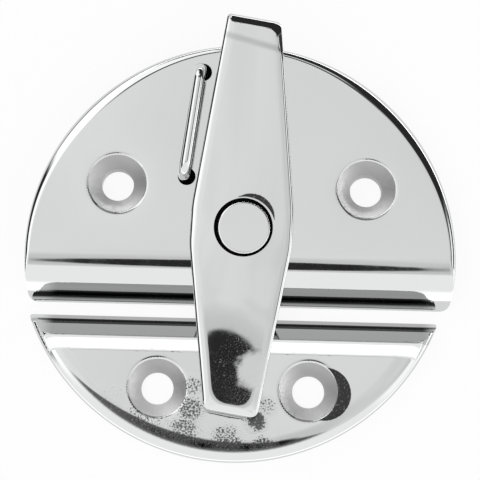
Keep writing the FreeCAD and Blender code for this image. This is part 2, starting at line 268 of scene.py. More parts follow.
def casting(name, outline, holes, top, under, top_rows, under_rows, split=None):
    """Closed mesh between two height maps, with the number of its finish on each face.

    The wall that stands on the line y = split gets the wall finish, a darker grey steel. A hole is (finish,
    rings), with the rings from the front to the back, each (centre, radius, height). None as the
    height means the skin's own."""
    patches = []
    for skin, height, rows, end, finish in (
            (SKIN_TOP, top, top_rows, 0, FRONT), (SKIN_UNDER, under, under_rows, -1, BACK)):
        rings = [outline] + [circle(*steps[end][:2]) for _, steps in holes]
        points, triangles = triangulate(rings, rows)
        patches.append((raised(points, height(*points.T)), triangles, skin, finish))
    wall, faces = strip(raised(outline, top(*outline.T)), raised(outline, under(*outline.T)))
    on_split = [split is not None and all(abs(wall[i][1] - split) < WELD for i in face) for face in faces]
    for chosen, finish in ((True, WALL), (False, FRONT)):
        patches.append((wall, [f for f, on in zip(faces, on_split) if on == chosen], SKIN_OTHER, finish))
    for finish, steps in holes:
        rings = []
        for number, (centre, radius, height) in enumerate(steps):
            plan = circle(centre, radius)
            skin_height = top if number == 0 else under
            rings.append(raised(plan, skin_height(*plan.T) if height is None else height))
        patches += [(*strip(upper, lower), SKIN_OTHER, finish) for upper, lower in zip(rings, rings[1:])]

    mesh = bpy.data.meshes.new(name)
    faces, skins, finishes, start = [], [], [], 0
    for points, patch_faces, skin, finish in patches:
        faces += [[start + int(corner) for corner in face] for face in patch_faces]
        skins += [skin] * len(patch_faces)
        finishes += [finish] * len(patch_faces)
        start += len(points)
    mesh.from_pydata(np.concatenate([patch[0] for patch in patches]).tolist(), [], faces)
    mesh.attributes.new("skin", "INT", "FACE").data.foreach_set("value", skins)
    mesh.polygons.foreach_set("material_index", finishes)
    weld(mesh)
    smooth_with_slopes(mesh, top, under)
    return mesh


def weld(mesh):
    """Joins the patches along their shared rings and turns every face outwards."""
    work = bmesh.new()
    work.from_mesh(mesh)
    bmesh.ops.delete(work, geom=[vert for vert in work.verts if not vert.link_faces], context="VERTS")
    bmesh.ops.remove_doubles(work, verts=work.verts, dist=WELD)
    bmesh.ops.recalc_face_normals(work, faces=work.faces)
    open_edges = sum(not edge.is_manifold for edge in work.edges)
    work.to_mesh(mesh)
    work.free()
    print(mesh.name, len(mesh.polygons), "faces,", open_edges, "open edges")


def smooth(mesh, sharp):
    mesh.polygons.foreach_set("use_smooth", [True] * len(mesh.polygons))
    mesh.set_sharp_from_angle(angle=math.radians(sharp))


def read_all(items, name, kind, width=1):
    values = np.zeros(len(items) * width, kind)
    items.foreach_get(name, values)
    return values.reshape(-1, width) if width > 1 else values


def smooth_with_slopes(mesh, top, under):
    """Smooth shading whose normals on the two skins are worked out from the height maps."""
    smooth(mesh, 30)
    normals = read_all(mesh.corner_normals, "vector", np.float32, 3)
    corners = read_all(mesh.loops, "vertex_index", np.int32)
    plan = read_all(mesh.vertices, "co", np.float32, 3)[corners, :2].astype(float)
    skins = read_all(mesh.attributes["skin"].data, "value", np.int32)
    skin_of_corner = np.repeat(skins, read_all(mesh.polygons, "loop_total", np.int32))
    for skin, height, sign in ((SKIN_TOP, top, 1), (SKIN_UNDER, under, -1)):
        chosen = skin_of_corner == skin
        normals[chosen] = sign * skin_normals(height, plan[chosen])
    mesh.normals_split_custom_set(normals.tolist())


print("slopes are measured with a step of", SLOPE_STEP / MM, "mm")

# %% [markdown]
# ## The outline of a cut disc
# Both plates are a disc cut off by a straight edge, with the two corners rounded in plan. The
# corner arcs are tangent to the circle and to the edge, so their centres follow from the radii.

# %% Cut disc
OUTLINE_SPACING = 0.3 * MM
COARSE_SPACING = 1.6 * MM
EDGE_MARGIN = 0.01 * MM


class CutDisc:
    """Plan of a disc on one side of a straight edge. side is 1 above the edge and -1 below it."""

    def __init__(self, centre, radius, edge_y, side, corner):
        self.centre, self.radius, self.edge_y, self.side, self.corner = centre, radius, edge_y, side, corner
        self.level = side * (edge_y - centre[1]) + corner
        self.across = math.sqrt((radius - corner)**2 - self.level**2)
        self.lean = math.atan2(self.level, self.across)

    def outline(self):
        def arc(x, y, radius, start, end):
            count = max(4, int(abs(end - start) * radius / OUTLINE_SPACING))
            return on_arc(np.array([x, y]), radius, np.linspace(start, end, count + 1)[:-1])

        xs = np.linspace(-self.across, self.across, int(2 * self.across / OUTLINE_SPACING) + 1)[:-1]
        ring = np.concatenate([
            arc(self.across, self.level, self.corner, -math.pi / 2, self.lean),
            arc(0, 0, self.radius, self.lean, math.pi - self.lean),
            arc(-self.across, self.level, self.corner, math.pi - self.lean, 1.5 * math.pi),
            level_row(xs, self.level - self.corner)])
        return self.centre + ring * [1, self.side]

    def from_rim(self, x, y):
        return self.radius - np.hypot(x - self.centre[0], y - self.centre[1])

    def from_edge(self, y):
        return self.side * (y - self.edge_y)

    def inside(self, points, margin):
        """The points that keep the margin from the outline."""
        x, y = points.T
        off_x = np.abs(x - self.centre[0]) - self.across
        off_y = self.side * (y - self.centre[1]) - self.level
        in_corner = (off_x > 0) & (np.arctan2(off_y, off_x) < self.lean)
        clear = (self.from_rim(x, y) > margin) & (self.from_edge(y) > margin)
        clear &= ~in_corner | (np.hypot(off_x, off_y) < self.corner - margin)
        return points[clear]

    def rows_along_edge(self, insets, spacing):
        xs = np.arange(-self.radius, self.radius, spacing) + self.centre[0]
        return [level_row(xs, self.edge_y + self.side * inset) for inset in insets]

    def rows_along_rim(self, insets, spacing):
        return rings_round(self.centre, [self.radius - inset for inset in insets], spacing)


def clear_of(points, circles, margin):
    """The points outside every (centre, radius) circle, by a margin."""
    for centre, radius in circles:
        points = points[np.hypot(*(points - centre).T) > radius + margin]
    return points


def plate_mesh(name, plan, holes, top, under, front_rows, back_rows):
    """Casting with fine rows of points where the surface turns and a coarse grid over the rest."""
    loose = []
    for end, rows, apart in ((0, front_rows, 0.5 * MM), (-1, back_rows, 0.4 * MM)):
        circles = [rings[end][:2] for _, rings in holes]
        fine = clear_of(plan.inside(np.concatenate(rows), 1.2 * EDGE_MARGIN), circles, EDGE_MARGIN)
        fine = spaced(fine, plan.outline(), EDGE_MARGIN)
        rest = plan.inside(grid(plan.centre, plan.radius, COARSE_SPACING), COARSE_SPACING / 3)
        loose.append(np.concatenate([fine, spaced(clear_of(rest, circles, COARSE_SPACING / 3), fine, apart)]))
    return casting(name, plan.outline(), holes, top, under, *loose, plan.edge_y)


base_plan = CutDisc(base_centre, base_radius, base_low.y, 1, 1.4 * MM)
keeper_plan = CutDisc(keeper_centre, keeper_radius, keeper_high.y, -1, 0.35 * MM)
print("base outline", len(base_plan.outline()), "points, keeper outline", len(keeper_plan.outline()))

# %% [markdown]
# ## The base plate's front
# A flat face with a rolled lip along the split: a very soft start, a tighter roll and a steep foot
# that stops just above the mounting surface. The rim was rounded by hand on a polishing wheel, so
# its radius wanders from side to side. Where lip and rim meet, their falls are added as a power
# sum, which leaves the flat face alone and rounds the corner between them.

# %% Base plate front
lip_slopes = (9, 42, 54)
lip_soft_radius = 16.0 * MM
lip_roll_radius = 4.4 * MM
rim_round = 2.3 * MM
rim_wander = ((4, 45, 0.24), (1, 60, 0.05), (3, 20, 0.04))
corner_power = 3
mouth_dip = 0.012 * MM
dip_reach = 1.1 * MM


def lip_arcs():
    """The lip's three arcs. The last one takes up the height that the others leave."""
    soft, roll, foot = (math.cos(math.radians(slope)) for slope in lip_slopes)
    left = base_height - edge_land - lip_soft_radius * (1 - soft) - lip_roll_radius * (soft - roll)
    radii = (lip_soft_radius, lip_roll_radius, left / (roll - foot))
    return zip(radii, (0, *lip_slopes), lip_slopes)


lip_profile = arc_profile(*lip_arcs())
rim_profile = arc_profile((rim_round, 0, 54))
mouth_profile = arc_profile((3.0 * MM, 0, 9), (0.3 * MM, 9, 45))
mouth_fall = float(fall_at(mouth_profile, 0))


def rim_share(x, y):
    """The rim's radius at a bearing, as a share of its greatest."""
    bearing = np.arctan2(y - base_centre[1], x - base_centre[0])
    wave = sum(size * np.cos(count * (bearing - math.radians(peak))) for count, peak, size in rim_wander)
    return np.clip(0.72 + wave, 0.3, 1.0)


def worn_mouths(x, y, screws):
    """How far the face falls at the polished mouths of its screw holes, and in the dimple round each."""
    total = np.zeros_like(x)
    for place in screws:
        out = np.hypot(x - place[0], y - place[1]) - screw_mouth
        total += fall_at(mouth_profile, out) + mouth_dip * np.exp(-(np.maximum(out, 0) / dip_reach)**2)
    return total


def base_top(x, y):
    share = rim_share(x, y)
    rim_fall = share * fall_at(rim_profile, base_plan.from_rim(x, y) / share)
    lip_fall = fall_at(lip_profile, base_plan.from_edge(y))
    fall = (rim_fall**corner_power + lip_fall**corner_power)**(1 / corner_power)
    return base_height - fall - worn_mouths(x, y, base_screws)


print("lip reaches", round(lip_profile[2] / MM, 2), "mm in from the split")

# %% [markdown]
# ## The base plate's back
# The back is hollow, as castings are: a wall round the rim, bosses round the screw holes that
# stand on the mounting surface, and lower bosses behind the pivot and the staple's feet. Draft
# slopes make it one height map too.

# %% Base plate back
draft = 0.4 * MM
web_z = base_height - casting_wall
boss_z = washer_high.z
screw_boss = screw_mouth + casting_wall
staple_feet = [pivot + np.array(foot) * MM for foot in ((-7.17, 24.46), (-9.26, 8.3))]
low_bosses = [(pivot, 7.0 * MM)] + [(foot, 2.0 * MM) for foot in staple_feet]


def beyond(x, y, centre, radius):
    """0 inside a circle, 1 outside it, with a drafted slope between."""
    return smooth_step((np.hypot(x - centre[0], y - centre[1]) - radius) / draft)


def hollow(x, y, roof, plan, edge_wall, screws):
    """A roof cut down to the mounting surface at the walls and the screw bosses."""
    for gap in (plan.from_rim(x, y) - casting_wall, plan.from_edge(y) - edge_wall):
        roof = roof * smooth_step(gap / draft)
    for place in screws:
        roof = roof * beyond(x, y, place, screw_boss)
    return roof


def base_under(x, y):
    lip_height = base_height - fall_at(lip_profile, base_plan.from_edge(y) - casting_wall)
    roof = np.clip(lip_height - casting_wall / 2, 0, web_z)
    roof = hollow(x, y, roof, base_plan, -math.inf, base_screws)
    for place, radius in low_bosses:
        roof = roof + (1 - beyond(x, y, place, radius)) * (boss_z - roof)
    return roof


print("web at", web_z / MM, "mm, bosses at", round(boss_z / MM, 2), "mm")

# %% Base plate mesh
shank_bore = 2.52 * MM
wire_radius = 0.92 * MM
foot_bore = wire_radius + 0.02 * MM
pocket_radius = 1.35 * MM
pocket_z = base_height - 2.0 * MM
pocket_shift = np.array([0.35, 0.0]) * MM
past_edge = 0.15 * MM
draft_steps = np.linspace(0, 1, 5) * draft


def screw_rings(place, face_z):
    """Rings down a countersunk hole, from the worn mouth to the back."""
    cone_z = face_z - mouth_fall - mouth_dip - (screw_mouth - screw_bore)
    return CONE, [(place, screw_mouth, None), (place, screw_bore, cone_z), (place, screw_bore, None)]


def foot_rings(foot):
    """Rings down a pocket that is wider than the wire and lies to one side of it."""
    pocket = foot + pocket_shift
    return BORE, [(pocket, pocket_radius, None), (pocket, pocket_radius, pocket_z),
                  (foot, foot_bore, pocket_z), (foot, foot_bore, None)]


def mouth_rows(screws):
    outer = np.array([0.5, 0.9, 1.4, 2.0]) * MM
    radii = screw_mouth + np.concatenate([inset_rows(mouth_profile, 5)[:-1], outer])
    return [ring for place in screws for ring in rings_round(place, radii, 0.4 * MM)]


def screw_boss_rows(screws):
    return [ring for place in screws for ring in rings_round(place, screw_boss + draft_steps, 0.5 * MM)]


base_holes = [screw_rings(place, base_height) for place in base_screws]
base_holes.append((BORE, [(pivot, shank_bore, None), (pivot, shank_bore, None)]))
base_holes += [foot_rings(foot) for foot in staple_feet]
rim_rows = np.append(inset_rows(rim_profile, 15)[:-1], rim_round + past_edge)
lip_rows = np.append(inset_rows(lip_profile, 34)[:-1], lip_profile[2] + past_edge)
base_front = (base_plan.rows_along_rim(rim_rows, 0.4 * MM) + base_plan.rows_along_edge(lip_rows, 0.5 * MM)
              + mouth_rows(base_screws))
base_back = screw_boss_rows(base_screws)
for (place, radius), spacing in zip(low_bosses, (0.5 * MM, 0.3 * MM, 0.3 * MM)):
    base_back += rings_round(place, radius + draft_steps, spacing)
base_back += base_plan.rows_along_rim(casting_wall + draft_steps, 0.5 * MM)
base_back += base_plan.rows_along_edge(casting_wall + np.linspace(0, 1.2, 16) * lip_profile[2], 0.8 * MM)
base_mesh = plate_mesh("base_skin", base_plan, base_holes, base_top, base_under, base_front, base_back)

# %% [markdown]
# ## The keeper plate
# The second plate completes the disc. A ridge along its front edge gives the arm's tail something
# to bear on: a hollow-ground front that rises from the gap, a narrow crest and a straight back.
# Its ends are rounded off just inside the rim. Each of these is one height, and the surface is
# the softened lower or higher of two of them.

# %% Keeper front
ridge_rise = 2.0 * MM
crest_slope, foot_slope, back_slope = (math.radians(slope) for slope in (50, 57, 47))
crest_blend = 0.06 * MM
ridge_foot_blend = 0.15 * MM
ridge_end_inset = 0.7 * MM
ridge_end_blend = 0.5 * MM
end_steepness = 10
crest_z = keeper_height + ridge_rise
front_radius = (crest_z - edge_land) / (math.cos(crest_slope) - math.cos(foot_slope))
crest_inset = front_radius * (math.sin(foot_slope) - math.sin(crest_slope))
back_inset = crest_inset + ridge_rise / math.tan(back_slope)
keeper_rim = arc_profile((15.3 * MM, 0, 7.2), (2.2 * MM, 7.2, 54))


def ridge_front(inset):
    lean = np.clip(math.sin(foot_slope) - inset / front_radius, 0.1, 0.999)
    return edge_land + front_radius * (np.sqrt(1 - lean**2) - math.cos(foot_slope))


def keeper_top(x, y):
    from_rim, from_edge = keeper_plan.from_rim(x, y), keeper_plan.from_edge(y)
    body = keeper_height - fall_at(keeper_rim, from_rim)
    back = keeper_height + (back_inset - from_edge) * math.tan(back_slope)
    end_inset = from_rim - ridge_end_inset
    end = crest_z - fall_at(rim_profile, end_inset) - np.maximum(-end_inset, 0) * end_steepness
    behind = soft_max(body, soft_min(back, end, ridge_end_blend), ridge_foot_blend)
    height = soft_min(ridge_front(from_edge), behind, crest_blend)
    return height - worn_mouths(x, y, keeper_screws)


def keeper_under(x, y):
    roof = np.full_like(x, keeper_height - casting_wall)
    return hollow(x, y, roof, keeper_plan, back_inset, keeper_screws)


print("ridge crest and back", round(crest_inset / MM, 2), round(back_inset / MM, 2), "mm from the edge")

# %% Keeper mesh
keeper_holes = [screw_rings(place, keeper_height) for place in keeper_screws]
keeper_rim_rows = np.append(inset_rows(keeper_rim, 26)[:-1], keeper_rim[2] + past_edge)
ridge_rows = np.concatenate([np.linspace(0.1, 1.0, 10) * (crest_inset - 0.5 * MM),
                             crest_inset + np.linspace(-0.3, 0.3, 25) * MM,
                             np.linspace(crest_inset + 0.4 * MM, back_inset - 0.15 * MM, 5),
                             back_inset + np.linspace(-0.12, 0.25, 9) * MM])
ridge_ends = keeper_plan.rows_along_rim(ridge_end_inset + inset_rows(rim_profile, 12), 0.25 * MM)
keeper_front = (keeper_plan.rows_along_rim(keeper_rim_rows, 0.4 * MM)
                + keeper_plan.rows_along_edge(ridge_rows, 0.45 * MM) + mouth_rows(keeper_screws)
                + [row[keeper_plan.from_edge(row[:, 1]) < back_inset + 0.3 * MM] for row in ridge_ends])
keeper_back = (screw_boss_rows(keeper_screws)
               + keeper_plan.rows_along_rim(casting_wall + draft_steps, 0.5 * MM)
               + keeper_plan.rows_along_edge(back_inset + draft_steps, 0.6 * MM))
keeper_mesh = plate_mesh("keeper_skin", keeper_plan, keeper_holes, keeper_top, keeper_under,
                         keeper_front, keeper_back)

# %% [markdown]
# ## The arm's plan
# The arm is widest at the pivot and tapers to two ends cut at the same slant. Its plan is a
# polygon with an arc at each corner: wide arcs at the shoulders, tight ones at the ends. The
# edge is rounded by the distance to this outline, so the plan has to tell that distance.

# %% Rounded plan
def corner_arc(before, corner, after, radius):
    """Centre, radius, start angle and turn of the arc that rounds a corner."""
    before, after = before - corner, after - corner
    before, after = before / np.hypot(*before), after / np.hypot(*after)
    half = math.acos(before @ after) / 2
    middle = (before + after) / np.hypot(*(before + after))
    centre = corner + middle * radius / math.sin(half)
    step = radius / math.tan(half)
    start = corner + before * step - centre
    side = before[1] * after[0] - before[0] * after[1]
    return centre, radius, math.atan2(start[1], start[0]), math.copysign(math.pi - 2 * half, side)


def along_arc(arc, share, inset=0.0):
    centre, radius, start, turn = arc
    angle = start + share * turn
    return centre + (radius - inset) * np.array([math.cos(angle), math.sin(angle)])


class RoundedPlan:
    """Convex polygon, counter-clockwise, with an arc of its own radius at each corner."""

    def __init__(self, corners, radii):
        following = corners[1:] + corners[:1]
        self.arcs = [corner_arc(corners[index - 1], corner, following[index], radii[index])
                     for index, corner in enumerate(corners)]
        self.lines = self.sides(0.0)

    def sides(self, inset):
        """Start and end of the straight line after each arc."""
        following = self.arcs[1:] + self.arcs[:1]
        return [(along_arc(arc, 1, inset), along_arc(other, 0, inset))
                for arc, other in zip(self.arcs, following)]

    def ring(self, inset, spacing):
        """Points round the outline, moved inwards."""
        points = []
        for arc, (start, end) in zip(self.arcs, self.sides(inset)):
            steps = max(4, int(arc[1] * arc[3] / spacing))
            points += [along_arc(arc, step / steps, inset) for step in range(steps)]
            steps = max(1, int(np.hypot(*(end - start)) / spacing))
            points += [start + (end - start) * step / steps for step in range(steps)]
        return np.array(points)

    def from_line(self, number, x, y):
        """Distance from one of the straight lines, inwards."""
        start, end = self.lines[number]
        along = (end - start) / np.hypot(*(end - start))
        return (y - start[1]) * along[0] - (x - start[0]) * along[1]

    def inset(self, x, y):
        """Distance from the outline, inwards."""
        nearest = np.full(np.shape(x), np.inf)
        for centre, radius, start, turn in self.arcs:
            angle = np.mod(np.arctan2(y - centre[1], x - centre[0]) - start, 2 * math.pi)
            distance = radius - np.hypot(x - centre[0], y - centre[1])
            nearest = np.where(angle <= turn, np.minimum(nearest, distance), nearest)
        for number, (start, end) in enumerate(self.lines):
            length = np.hypot(*(end - start))
            along = (end - start) / length
            run = (x - start[0]) * along[0] + (y - start[1]) * along[1]
            distance = self.from_line(number, x, y)
            nearest = np.where((run >= 0) & (run <= length), np.minimum(nearest, distance), nearest)
        return nearest


arm_half_width, arm_end_half_width = 7.7 * MM, 4.05 * MM
arm_middle = -0.35 * MM
grip_length, tail_length = 32.2 * MM, 27.9 * MM
grip_shoulder, tail_shoulder = 3.2 * MM, 2.8 * MM
end_slant = math.radians(7)
shoulder_round, grip_round, tail_round = 16.0 * MM, 0.8 * MM, 1.2 * MM
TAIL_END, TAIL_SIDES = 6, (7, 5)


def shoulder_corner(side, shoulder):
    return np.array([arm_middle + side * arm_half_width, shoulder])


def end_corner(side, shoulder, end):
    """Where a tapering side of the arm meets its slanted end."""
    taper = side * (arm_end_half_width - arm_half_width) / (end - shoulder)
    x = (side * arm_half_width + taper * (end - shoulder)) / (1 + taper * math.tan(end_slant))
    return np.array([arm_middle + x, end - x * math.tan(end_slant)])


arm_plan = RoundedPlan(
    [shoulder_corner(1, -tail_shoulder), shoulder_corner(1, grip_shoulder),
     end_corner(1, grip_shoulder, grip_length), end_corner(-1, grip_shoulder, grip_length),
     shoulder_corner(-1, grip_shoulder), shoulder_corner(-1, -tail_shoulder),
     end_corner(-1, -tail_shoulder, -tail_length), end_corner(1, -tail_shoulder, -tail_length)],
    [shoulder_round] * 2 + [grip_round] * 2 + [shoulder_round] * 2 + [tail_round] * 2)
print("arm plan:", len(arm_plan.ring(0, 0.2 * MM)), "points round it")

# %% [markdown]
# ## The arm's heights
# From the side, the arm is level over the pivot, rises slowly towards the grip and slopes down
# towards the tail. Across, it has the faint crown that a polishing belt leaves. The last part of
# the grip tips forward behind a soft crease. The underside is level, so that the tail passes over
# the base plate, and it steps up under the grip to leave room for a finger.

# %% Arm heights
arm_angle = math.radians(-1.95)
arm_cos, arm_sin = math.cos(arm_angle), math.sin(arm_angle)
arm_under_z = base_height + 0.3 * MM
arm_edge = arc_profile((8.0 * MM, 0, 8), (0.8 * MM, 8, 48))
arm_foot_edge = arc_profile((0.35 * MM, 0, 90))
tail_bend_start, tail_bend_slant = 9.7 * MM, 0.2
tail_bend_radius, tail_slope = 90 * MM, math.radians(6.3)
grip_bend_radius, grip_slope = 460 * MM, math.radians(2.8)
crown_radius = 125 * MM
tail_lean, lean_start, lean_run = 3.6 * MM, -3.0 * MM, 11.0 * MM
mitre_blend, mitre_fade = 2.3 * MM, 1.2 * MM
end_facet = arc_profile((0.08 * MM, 0, 30), (21.0 * MM, 30, 33), (1.3 * MM, 33, 58))
facet_fade, facet_corner, facet_side_gap = 0.075, 1.5 * MM, 0.43 * MM
facet_stop, stop_steepness, facet_blend = 0.7 * MM, 1.5, 0.03 * MM
crease_inset, crease_slant, crease_drop, crease_run = 3.4 * MM, math.radians(16), 0.034 * MM, 1.3 * MM
counterbore = 4.45 * MM
grip_thickness = 3.0 * MM
ramp_start, ramp_end = 8.0 * MM, 13.0 * MM


def to_arm(x, y):
    """Plan coordinates of the arm itself, with the pivot at (0, 0)."""
    u, v = x - pivot[0], y - pivot[1]
    return u * arm_cos + v * arm_sin, v * arm_cos - u * arm_sin


def from_arm(points):
    u, v = points.T
    return np.stack([u * arm_cos - v * arm_sin, u * arm_sin + v * arm_cos], 1) + pivot


def bent(run, radius, slope):
    """Rise after a run that starts level, bends along an arc and then keeps its slope."""
    arc_run = radius * math.sin(slope)
    curved = np.clip(run, 0, arc_run)
    return radius - np.sqrt(radius**2 - curved**2) + np.maximum(run - arc_run, 0) * math.tan(slope)


def arm_spine(v):
    tail_fall = bent(-v - tail_bend_start, tail_bend_radius, tail_slope)
    return arm_top_z - tail_fall + bent(v - grip_shoulder, grip_bend_radius, grip_slope)


def from_grip_end(off, v, slant):
    """Distance from a slanting line through the middle of the grip's end."""
    return (grip_length - v) * math.cos(slant) - off * math.sin(slant)


def grip_facet(off, v):
    """Fall of the facet at the grip's end. It turns the right corner and fades out down the side."""
    from_end = from_grip_end(off, v, end_slant)
    taper = (arm_half_width - arm_end_half_width) / (grip_length - grip_shoulder)
    half_width = arm_half_width - (v - grip_shoulder) * taper
    from_side = half_width - off + facet_side_gap + facet_fade * from_end
    stopped = stop_steepness * np.maximum(facet_stop - (half_width + off), 0)
    return fall_at(end_facet, soft_min(from_end, from_side, facet_corner) + stopped)


def soft_inset(u, v):
    """The plan's inset, with the mitres at the tail's two corners smoothed past the rounded edge."""
    inset = arm_plan.inset(u, v)
    end = arm_plan.from_line(TAIL_END, u, v)
    side = np.minimum(*(arm_plan.from_line(number, u, v) for number in TAIL_SIDES))
    lost = np.minimum(end, side) - soft_min(end, side, mitre_blend)
    return inset - lost * smooth_step(inset / mitre_fade)


def arm_top(x, y):
    u, v = to_arm(x, y)
    off = u - arm_middle
    from_crease = from_grip_end(off, v, crease_slant) - crease_inset
    crease = crease_drop * (1 - smooth_step(from_crease / crease_run + 0.5))
    edge = soft_max(fall_at(arm_edge, soft_inset(u, v)), grip_facet(off, v), facet_blend)
    lean = tail_lean * smooth_step((-v - lean_start) / lean_run)
    crown = (off + lean)**2 / (2 * crown_radius)
    return arm_spine(v + tail_bend_slant * np.where(v < 0, off, 0)) - crown - crease - edge


def arm_under(x, y):
    u, v = to_arm(x, y)
    ramp = np.clip((v - ramp_start) / (ramp_end - ramp_start), 0, 1)
    grip_under = arm_spine(np.maximum(v, ramp_end)) - grip_thickness
    level = arm_under_z + ramp * (grip_under - arm_under_z)
    return level + fall_at(arm_foot_edge, arm_plan.inset(u, v))


end_heights = [round(float(arm_spine(v)) / MM, 2) for v in (grip_length, -tail_length)]
print("arm heights at the ends, mm:", end_heights)

# %% Arm mesh
ARM_BORE = 2
arm_spacing = 0.25 * MM
turning_bore = 2.55 * MM
washer_recess, recess_z = 5.4 * MM, base_height + 1.0 * MM
seat_z = arm_top_z - 1.8 * MM
counterbore_place = pivot + np.array([-0.09, 0.07]) * MM
arm_holes = [(ARM_BORE, [
    (counterbore_place, counterbore, None), (counterbore_place, counterbore, seat_z),
    (pivot, turning_bore, seat_z), (pivot, turning_bore, recess_z),
    (pivot, washer_recess, recess_z), (pivot, washer_recess, None)])]


def arm_points(edge, hole, hole_radius, spacing):
    """Rows for one skin: offset rings in the rounded edge, rings at the hole, a grid between."""
    past = edge[2] + np.array([0.08, 0.25, 0.45, 0.65, 0.85, 1.1]) * MM
    at_facet = end_facet[2] + np.array([-0.09, -0.05, -0.01, 0.03]) * MM
    insets = np.concatenate([inset_rows(edge, 11)[:-1], past, at_facet])
    rings = [from_arm(arm_plan.ring(inset, arm_spacing)) for inset in insets if inset > 0]
    rings += rings_round(hole, hole_radius + np.array([0.1, 0.3, 0.6]) * MM, 0.4 * MM)
    fine = np.concatenate(rings)
    rest = grid(pivot, grip_length, spacing)
    deep = arm_plan.inset(*to_arm(*rest.T)) > edge[2] + 0.4 * MM
    rest = clear_of(rest[deep], [(hole, hole_radius)], 0.9 * MM)
    return np.concatenate([fine, spaced(rest, fine, spacing / 3)])


arm_mesh = casting("arm_skin", from_arm(arm_plan.ring(0, arm_spacing)), arm_holes, arm_top, arm_under,
                   arm_points(arm_edge, counterbore_place, counterbore, 0.7 * MM),
                   arm_points(arm_foot_edge, pivot, washer_recess, 1.0 * MM))

# %% [markdown]
# ## Turned pieces, as one node tree
# The rivet, its washer and the peened ends of the staple are all a profile spun about an axis.
# A spin operator would do it once. A node tree does it for every turned piece, and its inputs say
# how each differs. The tree takes the profile as its input mesh, lays a grid of (steps round) by
# (profile points), and puts each grid point at its profile point, turned by its angle. A wave
# input lifts and drops the ring as it goes round, which makes the spring washer too.

# %% Node tree helpers
def add_node(tree, kind, inputs=(), **settings):
    """New node with its settings, and with its inputs set to values or linked from sockets."""
    made = tree.nodes.new(kind)
    for setting, value in settings.items():
        setattr(made, setting, value)
    for key, value in dict(inputs).items():
        if isinstance(value, bpy.types.NodeSocket):
            tree.links.new(value, made.inputs[key])
        else:
            made.inputs[key].default_value = value
    return made


def maths(tree, operation, *values):
    return add_node(tree, "ShaderNodeMath", enumerate(values), operation=operation).outputs[0]


def chain(operation):
    """Function that carries an operation on two values through any count of them."""
    def carried(tree, *values):
        result = values[0]
        for value in values[1:]:
            result = maths(tree, operation, result, value)
        return result
    return carried


added, times, greatest = chain("ADD"), chain("MULTIPLY"), chain("MAXIMUM")


def node_group(name, sockets):
    """Geometry node group with a geometry socket each way and named inputs."""
    tree = bpy.data.node_groups.new(name, "GeometryNodeTree")
    for label, way, kind in [("Geometry", "INPUT", "Geometry"), ("Geometry", "OUTPUT", "Geometry"),
                             *((label, "INPUT", kind) for label, kind in sockets)]:
        tree.interface.new_socket(label, in_out=way, socket_type="NodeSocket" + kind)
    return tree, tree.nodes.new("NodeGroupInput").outputs, tree.nodes.new("NodeGroupOutput").inputs


def finish_group(tree, geometry, material, result):
    """Last nodes of a geometry tree: real geometry, with its material."""
    real = add_node(tree, "GeometryNodeRealizeInstances", {"Geometry": geometry})
    finished = add_node(tree, "GeometryNodeSetMaterial", {"Geometry": real.outputs[0], "Material": material})
    tree.links.new(finished.outputs[0], result[0])
    return tree


def placed(name, data):
    """New object in the scene."""
    thing = bpy.data.objects.new(name, data)
    bpy.context.scene.collection.objects.link(thing)
    return thing


def as_plain_mesh(thing):
    """Mesh that an object's modifiers make. The modifiers and the object go."""
    graph = bpy.context.evaluated_depsgraph_get()
    mesh = bpy.data.meshes.new_from_object(thing.evaluated_get(graph), depsgraph=graph)
    thing.modifiers.clear()
    bpy.data.objects.remove(thing)
    return mesh


def baked(name, source, tree, **values):
    """Plain mesh that a node group makes from a source mesh."""
    thing = placed(name, source)
    modifier = thing.modifiers.new("shape", "NODES")
    modifier.node_group = tree
    for item in tree.interface.items_tree:
        if item.in_out == "INPUT" and item.name in values:
            modifier[item.identifier] = values[item.name]
    mesh = as_plain_mesh(thing)
    mesh.name = name
    return mesh


print("helpers ready for", bpy.app.version_string)

# %% Turned piece tree
def turned_tree():
    tree, given, result = node_group("turned piece", [
        ("Steps", "Int"), ("Waves", "Int"), ("Swing", "Float"), ("Finish", "Material")])
    line = given["Geometry"]
    count = add_node(tree, "GeometryNodeAttributeDomainSize", {"Geometry": line}).outputs["Point Count"]
    sheet = add_node(tree, "GeometryNodeMeshGrid", {
        "Size X": 1.0, "Size Y": 1.0, "Vertices X": added(tree, given["Steps"], 1.0), "Vertices Y": count})
    position = add_node(tree, "GeometryNodeInputPosition").outputs[0]
    place = add_node(tree, "ShaderNodeSeparateXYZ", {0: position}).outputs
    turn = times(tree, added(tree, place["X"], 0.5), 2 * math.pi)
    row = times(tree, added(tree, place["Y"], 0.5), maths(tree, "SUBTRACT", count, 1.0))
    sample = add_node(tree, "GeometryNodeSampleIndex", data_type="FLOAT_VECTOR")
    for socket, value in (("Geometry", line), ("Value", position), ("Index", maths(tree, "ROUND", row))):
        tree.links.new(value, sample.inputs[socket])
    profile = add_node(tree, "ShaderNodeSeparateXYZ", {0: sample.outputs["Value"]}).outputs
    wave = times(tree, given["Swing"], maths(tree, "COSINE", times(tree, turn, given["Waves"])))
    spun = add_node(tree, "ShaderNodeCombineXYZ", {
        "X": times(tree, profile["X"], maths(tree, "COSINE", turn)),
        "Y": times(tree, profile["X"], maths(tree, "SINE", turn)),
        "Z": added(tree, profile["Z"], wave)}).outputs[0]
    moved = add_node(tree, "GeometryNodeSetPosition", {"Geometry": sheet.outputs["Mesh"], "Position": spun})
    closed = add_node(tree, "GeometryNodeMergeByDistance", {"Geometry": moved.outputs[0], "Distance": WELD})
    return finish_group(tree, closed.outputs[0], given["Finish"], result)


